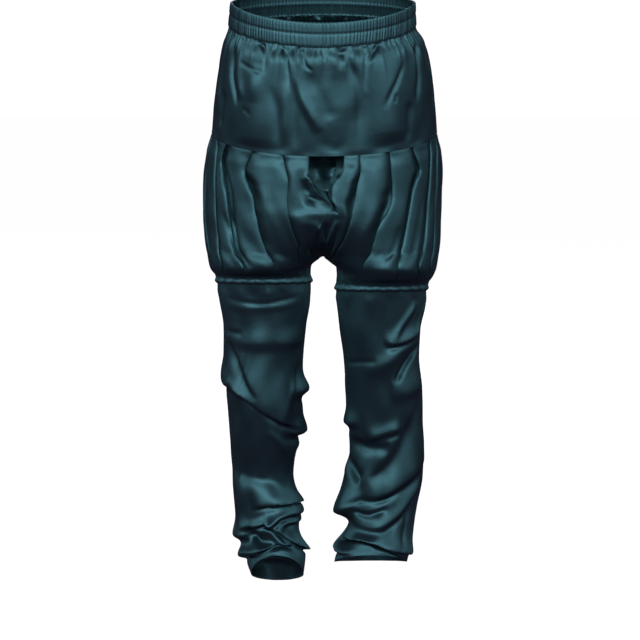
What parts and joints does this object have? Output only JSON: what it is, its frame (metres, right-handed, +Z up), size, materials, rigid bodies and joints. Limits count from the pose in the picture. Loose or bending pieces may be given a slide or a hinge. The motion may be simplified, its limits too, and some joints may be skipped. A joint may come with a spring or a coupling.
{
  "type": "ethnic pajama pants",
  "caption": "Low-crotch satin trousers with an elastic waistband, a smooth hip yoke, a pleated balloon hip and straight lower legs, standing hollow as they are worn.",
  "frame": {"origin": "middle of the waist opening, half way up the waistband at the sides", "axes": "+Z up along the standing legs, +X to the wearer's left, -Y towards the wearer's front"},
  "size_m": [0.4155, 0.2832, 1.0506],
  "materials": {
    "satin": "dark teal satin, soft sheen",
    "satin_pleats": "dark teal satin, pleated",
    "satin_band": "dark teal satin, gathered or doubled"
  },
  "bodies": {
    "root": {"waistband": "satin_band", "yoke_front": "satin", "yoke_back": "satin", "balloon_right_front": "satin_pleats", "balloon_right_back": "satin_pleats", "balloon_left_front": "satin_pleats", "balloon_left_back": "satin_pleats", "band_right": "satin_band", "band_left": "satin_band", "leg_right_front": "satin", "leg_right_back": "satin", "leg_left_front": "satin", "leg_left_back": "satin"}
  },
  "joints": []
}
